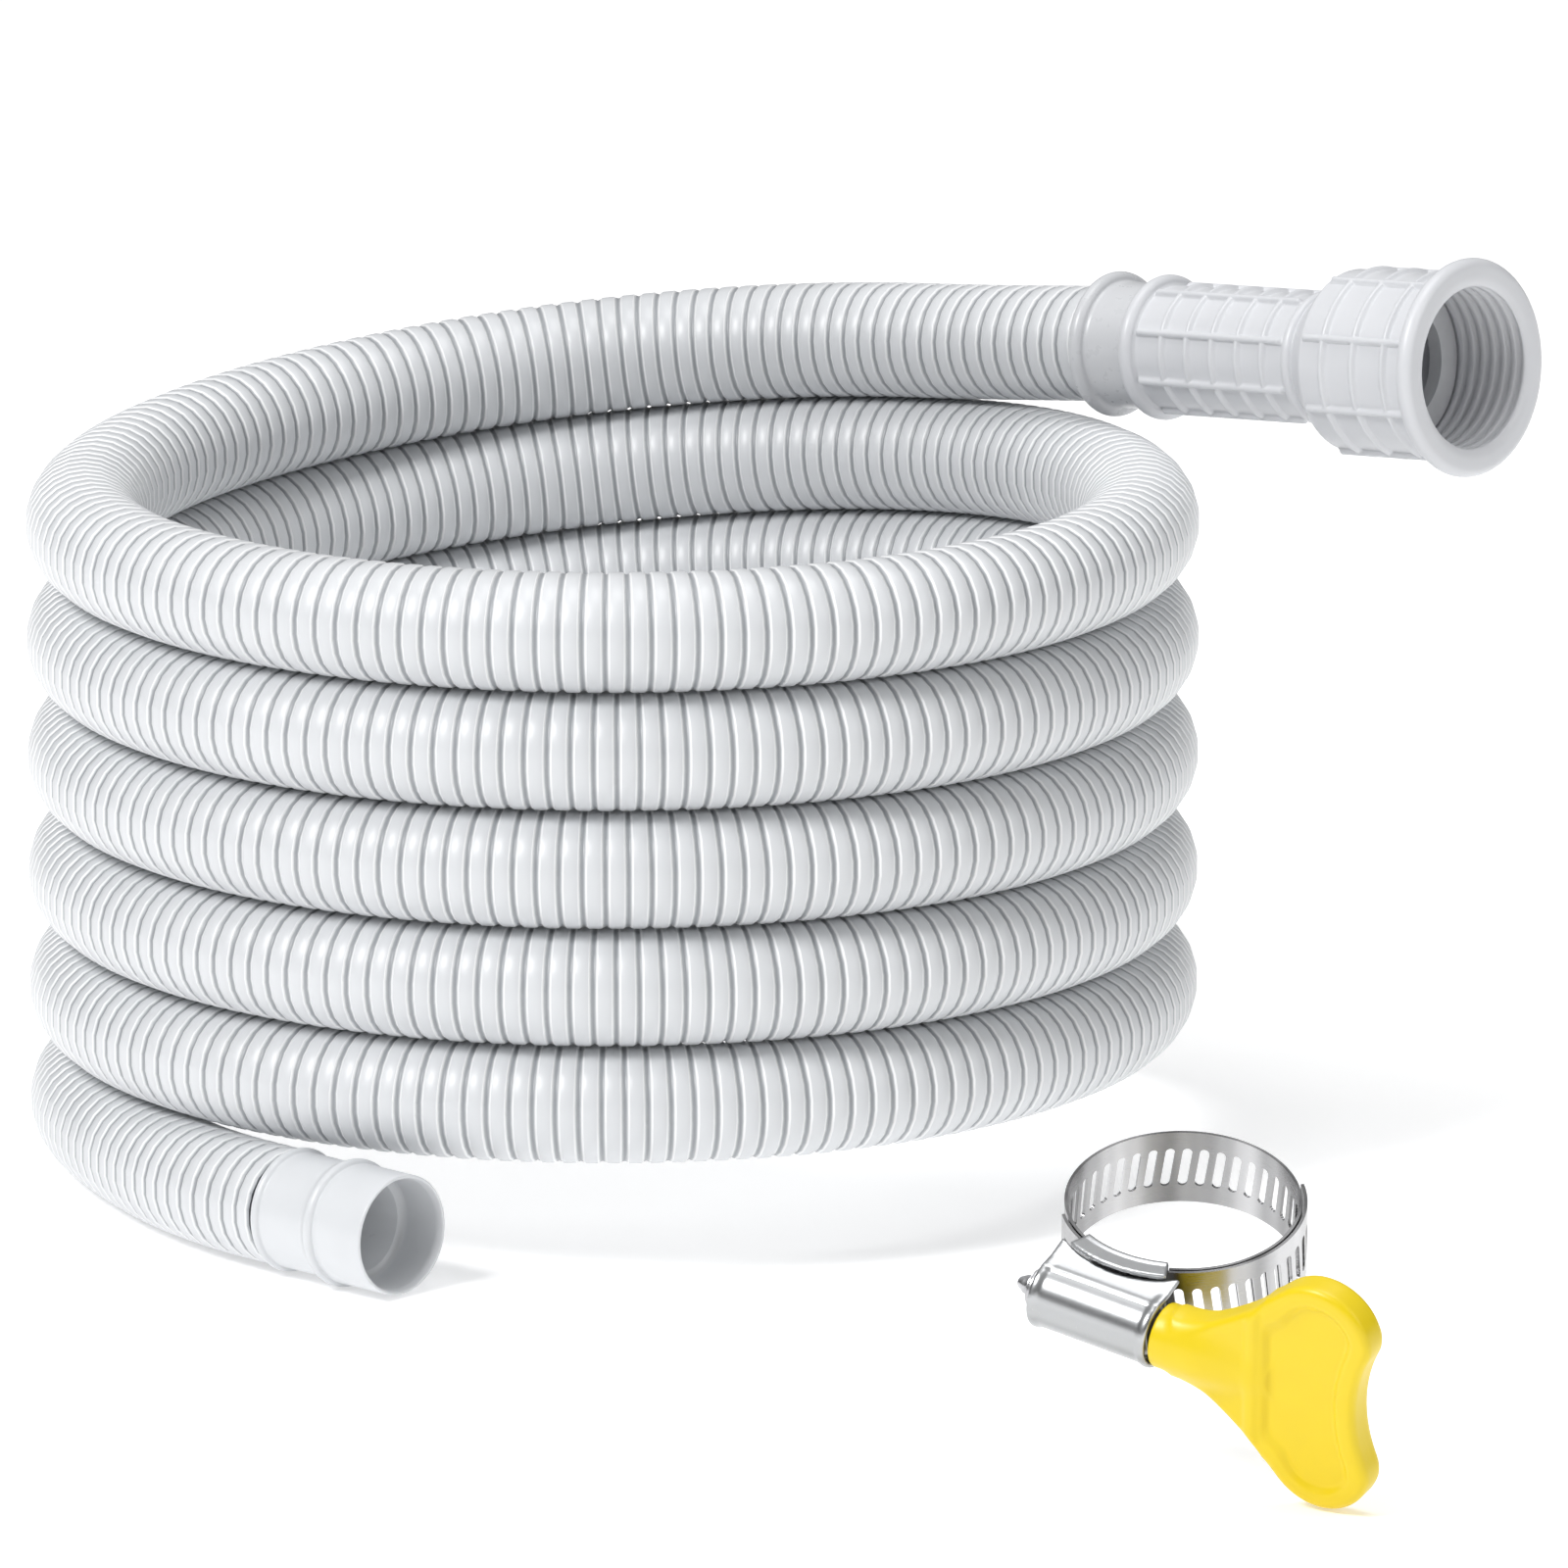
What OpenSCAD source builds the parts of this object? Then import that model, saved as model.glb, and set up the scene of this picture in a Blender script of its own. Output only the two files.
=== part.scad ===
// Drain hose kit for a caravan: a coiled corrugated hose with a swivel coupling on one end
// and a plain push-on cuff on the other, and a loose worm-drive clamp with a wing key.
// Millimetres, +Z up. The origin is the middle of the kit's footprint, on the surface it lies on.

/* [Hose and coil] */
// Outside diameter of the hose, over its ribs
hose_od = 19; // [18:0.5:19]
// Radius of the coil, to the middle of the hose
coil_r = 86; // [86:0.5:88]
// Height from one turn of the coil to the next
turn_rise = 19.2; // [19.2:0.1:19.6]
// Width of the web that joins the turns in the coil's plain solid
web_w = 12; // [6:1:16]

/* [Collar on the hose end] */
// Radius of the smooth neck
neck_r = 10.4; // [10.3:0.1:10.8]
// Radius over the bead at the hose side
collar_bead_r = 11.9; // [11.8:0.1:11.9]
// Radius of the section of both beads
bead_size = 1.3; // [1:0.1:1.5]
// Length of the neck, from the first bead to the coupling
neck_len = 9.2; // [8:0.1:10]
// Depth of the socket that takes the hose
socket_depth = 7.5; // [6:0.5:8]
// Radius of the journal that the coupling turns on
journal_r = 8.6; // [8.4:0.1:8.7]
// Length of the journal
journal_len = 16; // [15:1:20]
// Radius of the bore through the collar
flow_r = 6.4; // [6:0.1:6.5]

/* [Swivel coupling] */
// Radius of the thin barrel
thin_r = 10.25; // [10.2:0.05:10.4]
// Radius of the wide barrel
wide_r = 14.9; // [14.8:0.1:15.2]
// Place of the bead between the barrels
mid_bead_z = 44.4; // [43:0.1:46]
// Place where the wide barrel starts
wide_z = 51; // [50:0.1:52]
// Place of the mouth's face
mouth_z = 76; // [75:0.5:78]
// Radius of the mouth's flange
flange_r = 17.75; // [17:0.25:18]
// Thickness of the mouth's flange
flange_t = 3; // [2.5:0.5:3.5]
// Number of ribs along each barrel
grip_ribs = 8; // [6:1:10]
// Height of the grip ribs
rib_h = 0.5; // [0.3:0.1:0.6]
// Width of the grip ribs
rib_w = 1; // [0.8:0.1:1.4]
// Radius over the crests of the inside thread
thread_r = 12.9; // [12.7:0.1:13]
// Depth of the inside thread
thread_depth = 0.7; // [0.5:0.1:0.8]
// Pitch of the inside thread
thread_pitch = 2.2; // [2.2:0.1:2.4]
// Number of thread grooves
thread_turns = 6; // [4:1:6]

/* [Plain cuff] */
// Radius of the rear sleeve
cuff_rear_r = 9.4; // [9.2:0.1:9.5]
// Radius of the front sleeve
cuff_front_r = 9.75; // [9.6:0.05:9.9]
// Radius over the cuff's stop bead
cuff_bead_r = 10.4; // [10.2:0.1:10.6]
// Length of the cuff
cuff_len = 24.7; // [24:0.1:26]
// Bore of the cuff's mouth, as a radius
cuff_bore_r = 8.9; // [8.7:0.1:9]
// Depth of the wide bore
cuff_bore_depth = 8.7; // [8:0.1:10]

/* [Clamp] */
// Inside radius of the band
band_r = 17.75; // [17.5:0.25:18]
// Width of the band
band_w = 13; // [12.5:0.1:14.5]
// Thickness of the band
band_t = 0.5; // [0.5:0.1:0.8]
// Slots in a full turn of the band
slot_count = 42; // [38:1:44]
// Width of a slot
slot_w = 1.5; // [1.2:0.1:1.6]
// Height of a slot
slot_h = 7; // [6:0.5:8]
// Lean of the slots, in degrees
slot_lean = 8; // [0:1:10]
// Radius over the crests of the worm
worm_r = 4.5; // [4.4:0.1:4.5]
// Wall of the screw housing
housing_t = 0.8; // [0.7:0.1:1]
// Length of the screw housing
housing_len = 21; // [20.5:0.5:23]

/* [Wing key] */
// Radius of the key's shaft
key_shaft_r = 5.1; // [5:0.1:5.4]
// Thickness of the wing
wing_t = 5.4; // [4:0.2:6]
// Radius of each lobe of the wing
lobe_r = 9.2; // [8.8:0.1:9.4]
// Distance of each lobe's middle from the screw's axis
lobe_out = 11; // [10:0.5:11]
// Distance of the lobes' middles from the end of the housing
lobe_reach = 28.3; // [27:0.1:29]

/* [Layout] */
// Middle of the coil from the origin, to the right
coil_x = -27.8; // [-29:0.1:-27]
// Middle of the coil from the origin, to the back
coil_y = 74.5; // [73.5:0.1:75.5]
// Angle of the coupling from straight right, turned to the front
fit_heading = 41; // [41:1:41]
// Angle at which the coupling points up
fit_rise = 4.7; // [4.7:0.1:4.9]
// Angle of the cuff from straight right, turned to the front
cuff_heading = 44; // [43:1:45]
// Middle of the clamp's ring from the middle of the coil, to the right
clamp_x = 89.1; // [87:0.1:90]
// Middle of the clamp's ring from the middle of the coil, to the front
clamp_y = 194.5; // [193:0.5:196]
// Height of the middle of the clamp's ring
clamp_z = 35; // [35:0.1:36]
// Tilt of the clamp's ring to the front
clamp_tilt = 21.5; // [20.5:0.5:21.5]
// Angle of the clamp's screw from straight right, turned to the front
clamp_heading = 32; // [28:1:36]

/* [Hidden] */
$fn = 64;
hose_r = hose_od / 2;
coil_levels = 6;
tube_sides = 12;
step_az = 15;
hose_grey = [0.87, 0.88, 0.9];
fitting_grey = [0.82, 0.83, 0.85];

// Route of the hose where it leaves the coil, from the middle of the coil.
lead_run = [[57, 64.5, 121.6], [66, 56.8, 123], [75, 49, 124.5], [83, 42, 125.8], [89, 36.8, 126.45]];
tail_run = [[-75.2, -43.7, 9.5], [-68.5, -57.6, 9.7], [-60.4, -70.5, 10.1], [-50.5, -82, 10.4]];
tail_leaves = 200;
lowest_from = -10;

// Collar and coupling, along their own axis.
ring_floor_r = 7.8;
o_ring_r = 0.72;
o_ring_mid_r = 8.6;
o_ring_places = [17, 21.5];
clip_z = 12.75;
clip_t = 1;
clip_r = 9.05;
lip_end = 12.6;
passage_r = 9.4;
swivel_gap = 0.05;
grip_turn = 22;
washer_t = 2.5;
thread_end_z = mouth_z - 15;
insert_out_r = 7.2;
insert_back = 10;

// Clamp, round its own ring's middle.
slot_angle = 360 / slot_count;
layer_gap = 0.3;
free_r = band_r + band_t + layer_gap;
screw_y = -(free_r + band_t + 0.15 + worm_r);
barrel_r = worm_r + 0.1;
saddle_half = 24;
saddle_lip = 0.8;
free_from = -137;
free_to = 45;
worm_pitch = 2 * PI * (band_r + band_t) / slot_count;
key_x = housing_len / 2 + 0.3;
waist_r = 25.5;
waist_at = lobe_reach + 32.1;

// ---------- Hose ----------

function level_z(level) = hose_r + (coil_levels - level) * turn_rise;

function on_coil(az, z) = [coil_x + coil_r * cos(az), coil_y + coil_r * sin(az), z];

function placed(run) = [for (p = run) p + [coil_x, coil_y, 0]];

// The top turn climbs along the back of the coil to where it leaves for the coupling.
lead_route = concat(
    [for (az = [180:-step_az:60]) on_coil(az, level_z(0) - turn_rise * (1 - cos(az)) / 2)],
    placed(lead_run)
);

tail_route = concat(
    [for (az = [tail_leaves - 20:10:tail_leaves]) on_coil(az, hose_r)],
    placed(tail_run)
);

function unit(v) = v / norm(v);

function heading(route, i) =
    unit(route[min(i + 1, len(route) - 1)] - route[max(i - 1, 0)]);

function ring_points(centre, along, r) =
    let (side = unit(cross(along, [0, 0, 1])), up = cross(side, along))
    [for (k = [0:tube_sides - 1])
        let (a = (k + 0.5) * 360 / tube_sides)
        centre + r * (cos(a) * side + sin(a) * up)];

// A plain round tube swept along a route.
module tube(route, r) {
    last = len(route) - 1;
    points = [for (i = [0:last]) each ring_points(route[i], heading(route, i), r)];
    sides = [for (i = [0:last - 1], k = [0:tube_sides - 1])
        let (next = (k + 1) % tube_sides)
        [i * tube_sides + k, i * tube_sides + next,
         (i + 1) * tube_sides + next, (i + 1) * tube_sides + k]];
    start_cap = [for (k = [tube_sides - 1:-1:0]) k];
    end_cap = [for (k = [0:tube_sides - 1]) last * tube_sides + k];
    polyhedron(points = points, faces = concat([start_cap, end_cap], sides));
}

module hose_coil() {
    color(hose_grey)
        translate([coil_x, coil_y, 0])
            union() {
                rotate_extrude()
                    union() {
                        for (level = [1:coil_levels - 1])
                            translate([coil_r, level_z(level)]) circle(r = hose_r);
                        translate([coil_r - web_w / 2, level_z(coil_levels - 1)])
                            square([web_w, (coil_levels - 2) * turn_rise]);
                    }
                // The lowest turn lies on the floor at the back only; in front the tail takes over.
                rotate([0, 0, lowest_from])
                    rotate_extrude(angle = tail_leaves - lowest_from)
                        union() {
                            translate([coil_r, hose_r]) circle(r = hose_r);
                            translate([coil_r - web_w / 2, hose_r]) square([web_w, turn_rise]);
                        }
            }
}

module hose_lead() {
    color(hose_grey) tube(lead_route, hose_r);
}

module hose_tail() {
    color(hose_grey) tube(tail_route, hose_r);
}

// ---------- Collar and swivel coupling ----------

// Places a piece made round +Z onto the axis of the coupling, with the first bead at the origin.
module on_fitting() {
    translate([coil_x + 83, coil_y + 42, 125.8])
        rotate([0, 90 - fit_rise, -fit_heading])
            children();
}

module bead(outer_r, size, z) {
    translate([0, 0, z])
        rotate_extrude()
            translate([outer_r - size, 0]) circle(r = size, $fn = 32);
}

module annulus(outer_r, inner_r, h, z) {
    translate([0, 0, z])
        difference() {
            cylinder(r = outer_r, h = h);
            translate([0, 0, -1]) cylinder(r = inner_r, h = h + 2);
        }
}

module hose_collar() {
    color(fitting_grey)
        on_fitting()
            difference() {
                union() {
                    bead(collar_bead_r, bead_size, 0);
                    translate([0, 0, -bead_size]) cylinder(r = neck_r, h = bead_size + neck_len);
                    cylinder(r = journal_r, h = neck_len + journal_len);
                }
                translate([0, 0, -bead_size - 1])
                    cylinder(r = hose_r + 0.1, h = bead_size + 1 + socket_depth);
                cylinder(r = flow_r, h = 2 * (neck_len + journal_len));
                annulus(journal_r + 1, ring_floor_r, clip_t, clip_z);
                for (z = o_ring_places)
                    annulus(journal_r + 1, ring_floor_r, 2, z - 1);
            }
}

module spigot_insert() {
    color("gainsboro")
        on_fitting()
            annulus(insert_out_r, flow_r, socket_depth + insert_back, -insert_back);
}

module retaining_clip() {
    color("silver")
        on_fitting()
            annulus(clip_r, ring_floor_r, clip_t, clip_z);
}

module o_ring(z) {
    color("dimgray")
        on_fitting()
            bead(o_ring_mid_r + o_ring_r, o_ring_r, z);
}

// Ribs along a barrel and rings round it, which make its grip.
module grip(r, from_z, to_z, rings, first, pitch) {
    for (k = [0:grip_ribs - 1])
        rotate([0, 0, grip_turn + k * 360 / grip_ribs])
            translate([r - 1, -rib_w / 2, from_z])
                cube([1 + rib_h + 0.1, rib_w, to_z - from_z]);
    for (k = [0:rings - 1])
        translate([0, 0, first + k * pitch - rib_w / 2])
            cylinder(r = r + rib_h, h = rib_w);
}

module swivel_coupling() {
    back = neck_len + 0.2;
    color(fitting_grey)
        on_fitting()
            difference() {
                union() {
                    bead(collar_bead_r, bead_size, back + bead_size);
                    translate([0, 0, back]) cylinder(r = thin_r, h = mid_bead_z - back);
                    grip(thin_r, back + bead_size, mid_bead_z, 5, 17.8, 5.36);
                    bead(11, 1.1, mid_bead_z);
                    translate([0, 0, mid_bead_z])
                        cylinder(r1 = thin_r, r2 = wide_r, h = wide_z - mid_bead_z);
                    translate([0, 0, wide_z]) cylinder(r = wide_r, h = mouth_z - flange_t / 2 - wide_z);
                    grip(wide_r, wide_z, mouth_z - flange_t / 2, 3, wide_z + 4.7, 6.4);
                    translate([0, 0, mouth_z - flange_t])
                        cylinder(r = flange_r - flange_t / 2, h = flange_t);
                    bead(flange_r, flange_t / 2, mouth_z - flange_t / 2);
                }
                cylinder(r = journal_r + swivel_gap, h = lip_end + 1);
                translate([0, 0, lip_end]) cylinder(r = passage_r, h = 40);
                translate([0, 0, 46]) cylinder(r1 = passage_r, r2 = 11.5, h = 6);
                translate([0, 0, 51.9]) cylinder(r = 11.5, h = 8);
                translate([0, 0, thread_end_z - washer_t])
                    cylinder(r = thread_r + thread_depth, h = washer_t + 0.6);
                translate([0, 0, thread_end_z]) cylinder(r = thread_r, h = 20);
                for (k = [0:thread_turns - 1])
                    translate([0, 0, thread_end_z + 1.2 + k * thread_pitch])
                        cylinder(r = thread_r + thread_depth, h = thread_pitch / 2);
            }
}

module sealing_washer() {
    color("dimgray")
        on_fitting()
            annulus(thread_r + thread_depth - 0.1, 9.5, washer_t, thread_end_z - washer_t);
}

// ---------- Plain cuff ----------

module plain_cuff() {
    nipple = 12;
    color(hose_grey)
        translate(placed(tail_run)[len(tail_run) - 1])
            rotate([0, 90, -cuff_heading])
                difference() {
                    union() {
                        bead(hose_r + 0.55, 0.9, 0.9);
                        cylinder(r = cuff_rear_r, h = 13);
                        bead(cuff_bead_r, 1, 13.1);
                        translate([0, 0, 13]) cylinder(r = cuff_front_r, h = cuff_len - 13);
                        translate([0, 0, -nipple]) cylinder(r = insert_out_r, h = nipple + 1);
                    }
                    translate([0, 0, -nipple - 1]) cylinder(r = flow_r, h = nipple + 5);
                    translate([0, 0, 2]) cylinder(r = 7.6, h = cuff_len);
                    translate([0, 0, cuff_len - cuff_bore_depth])
                        cylinder(r = cuff_bore_r, h = cuff_bore_depth + 1);
                }
}

// ---------- Clamp ----------

// Places a piece made round the clamp's ring: +Z along the ring's axis, +X along the screw.
module on_clamp() {
    translate([coil_x + clamp_x, coil_y - clamp_y, clamp_z])
        rotate([clamp_tilt, 0, 0])
            rotate([0, 0, -clamp_heading])
                children();
}

module along_screw(x) {
    translate([x, screw_y, 0]) rotate([0, 90, 0]) children();
}

module slot_cutter() {
    reach = (slot_h - slot_w) / 2;
    rotate([slot_lean, 0, 0])
        rotate([0, 90, 0])
            linear_extrude(height = 6)
                union() {
                    square([2 * reach, slot_w], center = true);
                    translate([reach, 0]) circle(d = slot_w, $fn = 16);
                    translate([-reach, 0]) circle(d = slot_w, $fn = 16);
                }
}

// A stretch of slotted band, between two angles round the ring.
module slotted_band(inner_r, from, to) {
    first = ceil((from + 6) / slot_angle);
    last = floor((to - 6) / slot_angle);
    difference() {
        rotate([0, 0, from])
            rotate_extrude(angle = to - from)
                translate([inner_r, -band_w / 2]) square([band_t, band_w]);
        for (k = [first:last])
            rotate([0, 0, k * slot_angle])
                translate([inner_r - 3, 0, 0]) slot_cutter();
    }
}

module clamp_band() {
    color("silver")
        on_clamp()
            slotted_band(band_r, saddle_half - 90, 270 - saddle_half);
}

module band_free_end() {
    color("lightgray")
        on_clamp()
            slotted_band(free_r, free_from, free_to);
}

// The piece that joins the band's fixed ends and folds over both edges of the band.
module clamp_saddle() {
    half = band_w / 2;
    lip_z = half + 0.1;
    lip_r = free_r + band_t + 1.4;
    color("gainsboro")
        on_clamp()
            rotate([0, 0, -90 - saddle_half])
                rotate_extrude(angle = 2 * saddle_half)
                    union() {
                        translate([band_r, -half - saddle_lip])
                            square([band_t, band_w + 2 * saddle_lip]);
                        for (z = [lip_z, -lip_z - saddle_lip])
                            translate([band_r, z]) square([lip_r - band_r, saddle_lip]);
                    }
}

// Section of the pressed housing: a round barrel whose sides flare out to the band's edges.
module housing_section(grow) {
    circle(r = barrel_r + grow);
    polygon([
        [-0.5, -barrel_r - grow], [-0.5, barrel_r + grow],
        [-9, band_w / 2 + grow - 0.2], [-9, -band_w / 2 - grow + 0.2]
    ]);
}

module screw_housing() {
    color("silver")
        on_clamp()
            difference() {
                translate([-housing_len / 2, screw_y, 0])
                    rotate([90, 0, 90])
                        mirror([1, 0, 0])
                            linear_extrude(height = housing_len)
                                difference() {
                                    housing_section(housing_t);
                                    housing_section(0);
                                }
                cylinder(r = free_r + band_t + 0.35, h = 40, center = true);
            }
}

module worm_screw() {
    root_r = worm_r - 1.2;
    thread_len = housing_len - 3;
    color("silver")
        on_clamp()
            union() {
                along_screw(-housing_len / 2 - 0.4) cylinder(r = root_r, h = housing_len + 0.8);
                for (k = [0:6])
                    along_screw(-thread_len / 2 + k * worm_pitch)
                        cylinder(r = worm_r, h = worm_pitch / 2);
                along_screw(key_x) cylinder(r = 4, h = 8, $fn = 6);
                along_screw(-housing_len / 2 - 2.2) cylinder(r = 1.5, h = 2.2);
                along_screw(-housing_len / 2 - 3.4) cylinder(r1 = 0.6, r2 = 1.5, h = 1.3);
            }
}

module tip_collar() {
    color("gainsboro")
        on_clamp()
            along_screw(-housing_len / 2 - 1.8)
                difference() {
                    cylinder(r = 2.8, h = 1.3);
                    translate([0, 0, -1]) cylinder(r = 1.5, h = 4);
                }
}

// Outline of the wing: two round lobes, a shallow waist across their ends and a flare to the shaft.
module wing_outline() {
    difference() {
        union() {
            for (side = [-1, 1])
                translate([lobe_reach, side * lobe_out]) circle(r = lobe_r);
            translate([lobe_reach - lobe_r, -lobe_out])
                square([2 * lobe_r, 2 * lobe_out]);
            polygon([
                [6, -4.8], [6, 4.8], [10, 7], [14, 10.6],
                [lobe_reach - 8.8, lobe_out + 3.5], [lobe_reach, lobe_out],
                [lobe_reach, -lobe_out], [lobe_reach - 8.8, -lobe_out - 3.5], [14, -10.6], [10, -7]
            ]);
        }
        translate([waist_at, 0]) circle(r = waist_r);
    }
}

module wing_key() {
    color("gold")
        on_clamp()
            difference() {
                union() {
                    along_screw(key_x) cylinder(r = key_shaft_r, h = 10);
                    translate([key_x, screw_y, 0])
                        rotate([90, 0, 0])
                            linear_extrude(height = wing_t, center = true) wing_outline();
                }
                along_screw(key_x - 1) cylinder(r = 4, h = 9, $fn = 6);
            }
}

hose_coil();
hose_lead();
hose_tail();
hose_collar();
spigot_insert();
retaining_clip();
o_ring(o_ring_places[0]);  // o_ring_rear
o_ring(o_ring_places[1]);  // o_ring_front
swivel_coupling();
sealing_washer();
plain_cuff();
clamp_band();
band_free_end();
clamp_saddle();
screw_housing();
worm_screw();
tip_collar();
wing_key();
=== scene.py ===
"""Drain hose kit: ribbed hose coil, swivel coupling, push-on cuff and a loose wing-key clamp.

Every length in the piece builders is in millimetres in the piece's own frame. MM turns it into
metres when the mesh is made. The frames are the same ones as in part.scad.
"""
import math

import bpy
import numpy as np
from mathutils import Matrix, Vector


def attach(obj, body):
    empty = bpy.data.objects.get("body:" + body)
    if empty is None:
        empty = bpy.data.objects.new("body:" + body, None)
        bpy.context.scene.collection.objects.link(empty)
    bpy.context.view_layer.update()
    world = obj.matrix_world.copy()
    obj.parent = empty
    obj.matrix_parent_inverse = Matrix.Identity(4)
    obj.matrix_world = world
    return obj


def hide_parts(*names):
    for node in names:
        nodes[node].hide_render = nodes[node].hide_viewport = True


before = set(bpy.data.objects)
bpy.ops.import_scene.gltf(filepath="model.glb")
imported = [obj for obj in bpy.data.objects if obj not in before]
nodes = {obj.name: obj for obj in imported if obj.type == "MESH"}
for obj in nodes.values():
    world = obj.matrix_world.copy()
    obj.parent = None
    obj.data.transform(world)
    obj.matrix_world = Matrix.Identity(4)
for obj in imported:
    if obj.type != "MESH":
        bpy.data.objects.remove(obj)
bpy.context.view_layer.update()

MM = 0.001
TAU = 2 * math.pi

# ---------------------------------------------------------------- sizes, as in part.scad

COIL_X, COIL_Y = -27.8, 74.5
HOSE_R, COIL_R, TURN_RISE, COIL_LEVELS = 9.5, 86.0, 19.2, 6
LEAD_RUN = [(57, 64.5, 121.6), (66, 56.8, 123), (75, 49, 124.5), (83, 42, 125.8), (89, 36.8, 126.45)]
TAIL_RUN = [(-75.2, -43.7, 9.5), (-68.5, -57.6, 9.7), (-60.4, -70.5, 10.1), (-50.5, -82, 10.4)]
# Angles round the coil, counted from its right, where the runs to the cuff and the coupling leave it.
TAIL_LEAVES, LEAD_LEAVES = 200, 50
FIT_AT, FIT_HEADING, FIT_RISE = (83, 42, 125.8), 41.0, 4.7
CUFF_HEADING = 44.0
CLAMP_AT, CLAMP_TILT, CLAMP_HEADING = (89.1, -194.5, 35.0), 21.5, 32.0
BAND_R, BAND_T, BAND_W = 17.75, 0.5, 13.0
FREE_R = BAND_R + BAND_T + 0.3
WORM_R, WORM_PITCH = 4.5, 2.76
SCREW_Y = -(FREE_R + BAND_T + 0.15 + WORM_R)
HOUSING_LEN, HOUSING_T = 21.0, 0.8
KEY_X = HOUSING_LEN / 2 + 0.3


def in_row(p):
    """A point given from the coil's middle, in the row frame, in metres."""
    return Vector((p[0] + COIL_X, p[1] + COIL_Y, p[2])) * MM


def turned(deg, axis):
    return Matrix.Rotation(math.radians(deg), 4, axis)


FITTING = Matrix.Translation(in_row(FIT_AT)) @ turned(-FIT_HEADING, "Z") @ turned(90 - FIT_RISE, "Y")
CUFF = Matrix.Translation(in_row(TAIL_RUN[-1])) @ turned(-CUFF_HEADING, "Z") @ turned(90, "Y")
CLAMP = Matrix.Translation(in_row(CLAMP_AT)) @ turned(CLAMP_TILT, "X") @ turned(-CLAMP_HEADING, "Z")
# The screw's own frame: +Z along the screw towards the key, +X up the ring's axis.
SCREW = CLAMP @ Matrix.Translation(Vector((0, SCREW_Y * MM, 0))) @ turned(90, "Y")

# ---------------------------------------------------------------- camera

CAM_ELEVATION, CAM_DISTANCE, CAM_LENS = 13.0, 3.0, 421.4
AIM_RIGHT, AIM_UP, AIM_Z = 27.9, 1.0, 60.0


def make_camera():
    e = math.radians(CAM_ELEVATION)
    back = Vector((0, -math.cos(e), math.sin(e)))
    up = Vector((0, math.sin(e), math.cos(e)))
    aim = in_row((AIM_RIGHT, 0, AIM_Z)) + up * (AIM_UP * MM)
    data = bpy.data.cameras.new("camera")
    data.lens = CAM_LENS
    data.sensor_width = 36.0
    data.clip_start, data.clip_end = 0.05, 50.0
    cam = bpy.data.objects.new("camera", data)
    bpy.context.scene.collection.objects.link(cam)
    cam.rotation_mode = "QUATERNION"
    cam.location = aim + back * CAM_DISTANCE
    cam.rotation_quaternion = (-back).to_track_quat("-Z", "Y")
    bpy.context.scene.camera = cam


make_camera()

# ---------------------------------------------------------------- mesh helpers


def signed_volume(verts, faces):
    """Six times the volume inside the faces; negative if they face inwards."""
    p = np.asarray(verts, float)
    total = 0.0
    for size in (3, 4):
        f = np.array([face for face in faces if len(face) == size], int)
        for k in range(1, size - 1):
            if len(f):
                total += np.einsum("ij,ij->i", p[f[:, 0]], np.cross(p[f[:, k]], p[f[:, k + 1]])).sum()
    return total


def make_object(name, verts, faces, matrix=None, smooth=True):
    """A mesh object from points in millimetres."""
    me = bpy.data.meshes.new(name)
    if signed_volume(verts, faces) < 0:
        faces = [tuple(reversed(f)) for f in faces]
    me.from_pydata([tuple(v) for v in np.asarray(verts, float) * MM], [], faces)
    if matrix is not None:
        me.transform(matrix)
    me.update()
    if smooth:
        me.shade_smooth()
    ob = bpy.data.objects.new(name, me)
    bpy.context.scene.collection.objects.link(ob)
    return ob


def grid_faces(rows, cols, wrap_rows=False, wrap_cols=True):
    i = np.arange(rows if wrap_rows else rows - 1)
    j = np.arange(cols if wrap_cols else cols - 1)
    i, j = np.meshgrid(i, j, indexing="ij")
    i2, j2 = (i + 1) % rows, (j + 1) % cols
    quads = np.stack([i * cols + j, i * cols + j2, i2 * cols + j2, i2 * cols + j], -1)
    return quads.reshape(-1, 4)


def line(r0, z0, r1, z1, step):
    n = max(1, int(round(math.hypot(r1 - r0, z1 - z0) / step)))
    return [(r0 + (r1 - r0) * k / n, z0 + (z1 - z0) * k / n) for k in range(n)]


def arc(rc, zc, radius, a0, a1, n=8):
    """Points on an arc in the (r, z) plane; angle 0 points out, 90 points along +z."""
    out = []
    for k in range(n + 1):
        a = math.radians(a0 + (a1 - a0) * k / n)
        out.append((rc + radius * math.cos(a), zc + radius * math.sin(a)))
    return out


def lathe(name, profile, thetas, matrix, shape=None):
    """Turns a closed profile of (r, z) points round +Z. shape(r, z, theta) may move r."""
    p = np.array(profile, float)
    th = np.array(thetas, float)
    r, t = np.meshgrid(p[:, 0], th, indexing="ij")
    z, _ = np.meshgrid(p[:, 1], th, indexing="ij")
    if shape is not None:
        r = shape(r, z, t)
    verts = np.stack([r * np.cos(t), r * np.sin(t), z], -1).reshape(-1, 3)
    return make_object(name, verts, grid_faces(len(p), len(th), True, True).tolist(), matrix)


def even(n):
    return [TAU * k / n for k in range(n)]


def corner(a, c):
    """The grid's values at corner c of every cell."""
    cells = tuple(slice(start, start + n - 1) for start, n in zip(c, a.shape))
    return a[cells]


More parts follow.
